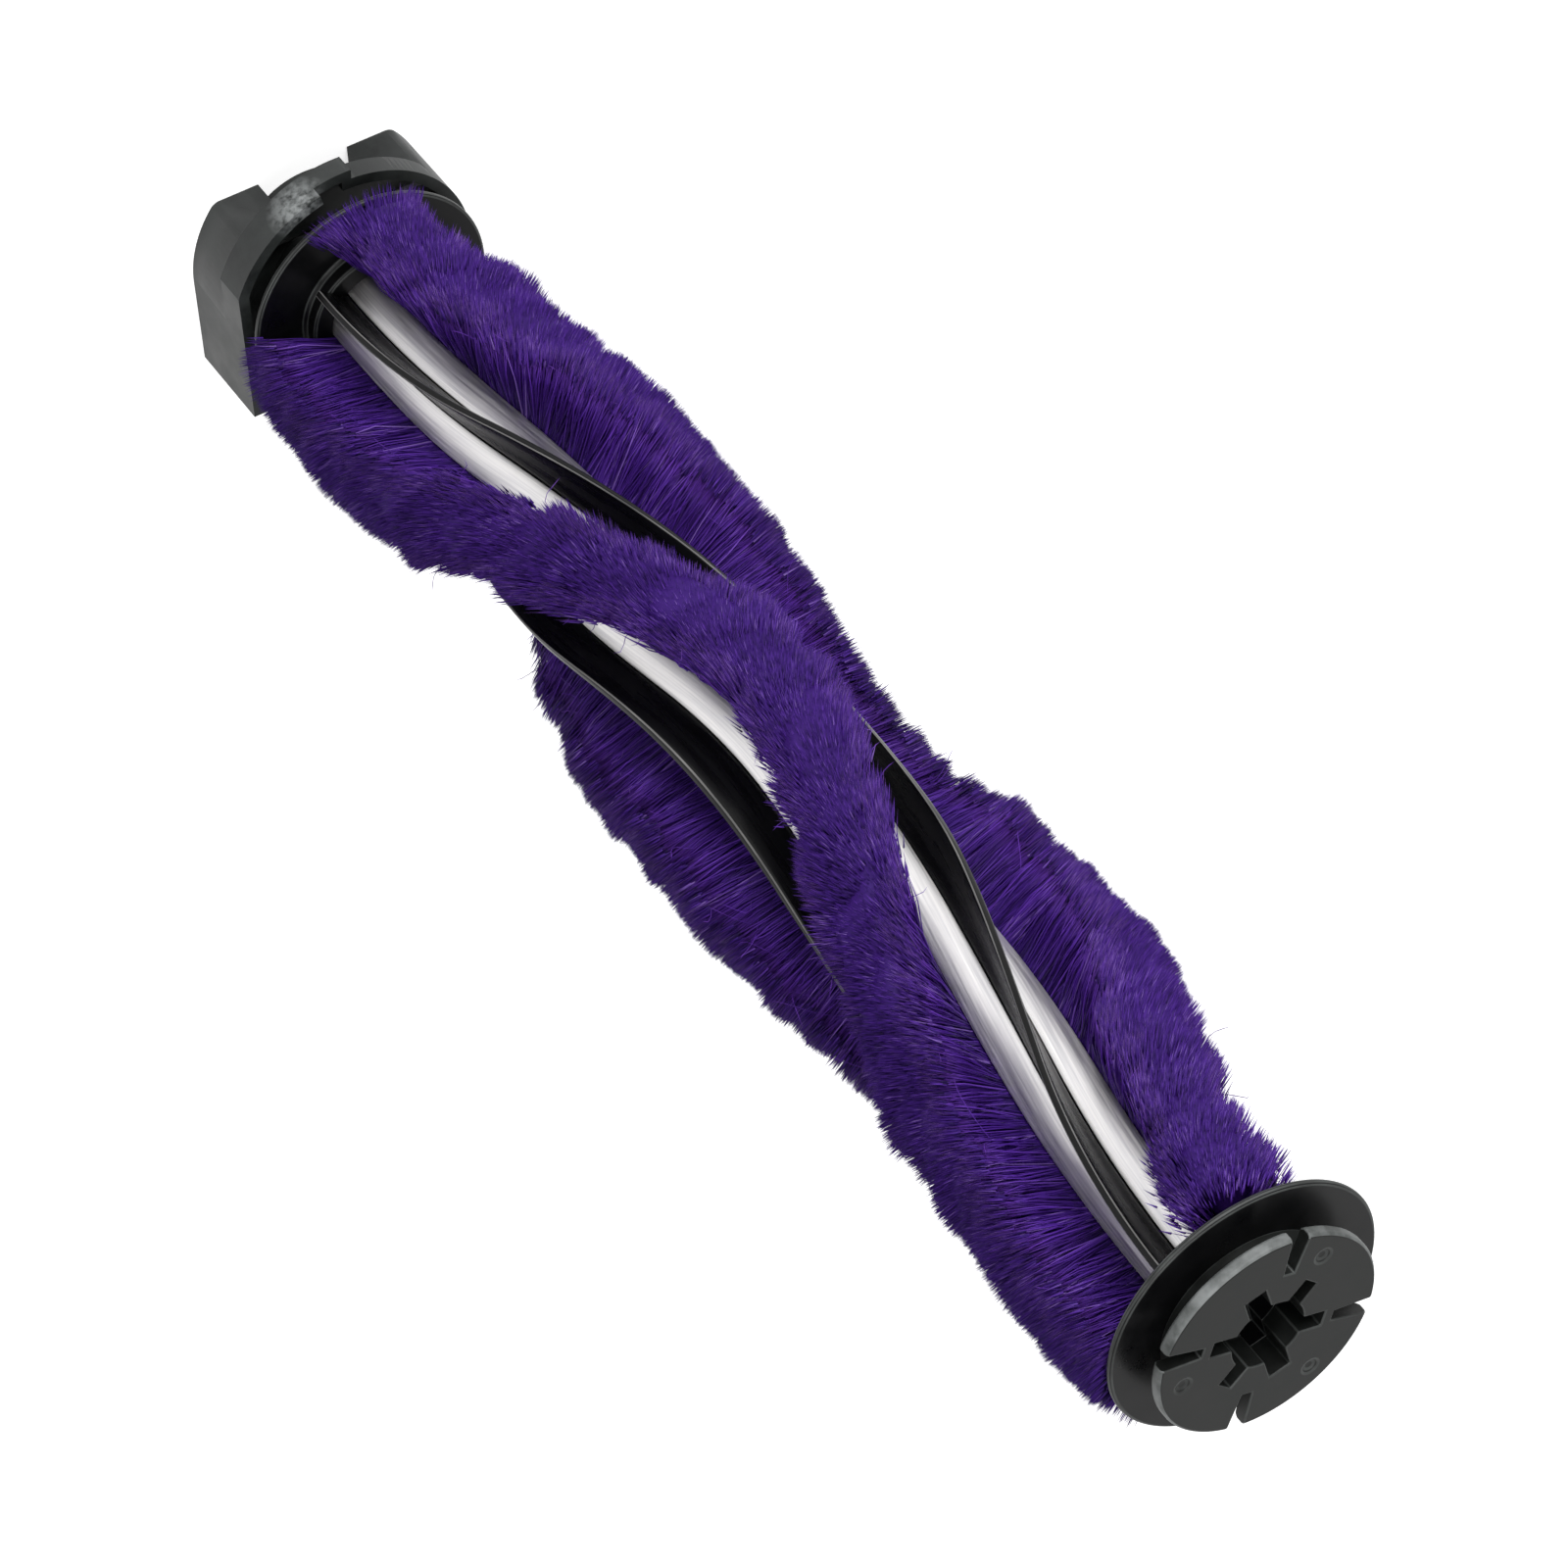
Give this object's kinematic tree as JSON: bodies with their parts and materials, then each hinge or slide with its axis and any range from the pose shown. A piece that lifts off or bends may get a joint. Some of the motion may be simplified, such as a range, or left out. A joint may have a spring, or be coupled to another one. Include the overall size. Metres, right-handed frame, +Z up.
{
  "type": "vacuum roller brush",
  "caption": "Soft pile vacuum roller on a twisted slotted core, with rubber blades, a star-socket drive coupling and a ball-bearing end block.",
  "frame": {"origin": "on the roller axis, at the flat back face of the bearing block that the roller stands on", "axes": "+Z up the roller axis to the drive coupling, +X across the block's flat sides, +Y towards the block's two horns"},
  "size_m": [0.044, 0.044, 0.2345],
  "materials": {
    "extruded_aluminium": "brushed",
    "nylon_pile": "plush",
    "woven_backing": "woven",
    "blade_rubber": "satin",
    "moulded_nylon": "satin moulded",
    "bearing_steel": "ground",
    "brass_ribbon": "pressed",
    "sleeve_rubber": "matte",
    "wool_felt": "felted"
  },
  "bodies": {
    "end_block": {"bearing_block": "moulded_nylon", "bearing_sleeve": "sleeve_rubber", "felt_washer": "wool_felt", "bearing_outer_ring": "bearing_steel", "bearing_shield_front": "bearing_steel", "bearing_shield_back": "bearing_steel"},
    "ball_set": {"bearing_cage": "brass_ribbon", "bearing_balls": "bearing_steel"},
    "roller": {"core_tube": "extruded_aluminium", "pile_strip_1": "nylon_pile", "pile_strip_2": "nylon_pile", "pile_strip_3": "nylon_pile", "backing_strip_1": "woven_backing", "backing_strip_2": "woven_backing", "backing_strip_3": "woven_backing", "rubber_blade_1": "blade_rubber", "rubber_blade_2": "blade_rubber", "rubber_blade_3": "blade_rubber", "drive_cap": "moulded_nylon", "drive_coupling": "moulded_nylon", "idle_cap": "moulded_nylon", "stub_axle": "bearing_steel", "retaining_clip": "bearing_steel", "bearing_inner_ring": "bearing_steel"}
  },
  "joints": [
    {"name": "roller_spin", "type": "hinge", "parent": "end_block", "child": "roller", "pos_m": [0, 0, 0.0059], "axis": [0, 0, 1], "continuous": true},
    {"name": "ball_set_spin", "type": "hinge", "parent": "end_block", "child": "ball_set", "pos_m": [0, 0, 0.0059], "axis": [0, 0, 1], "continuous": true}
  ],
  "couplings": [
    {"joint": "ball_set_spin", "follows": "roller_spin", "ratio": 0.3571}
  ]
}
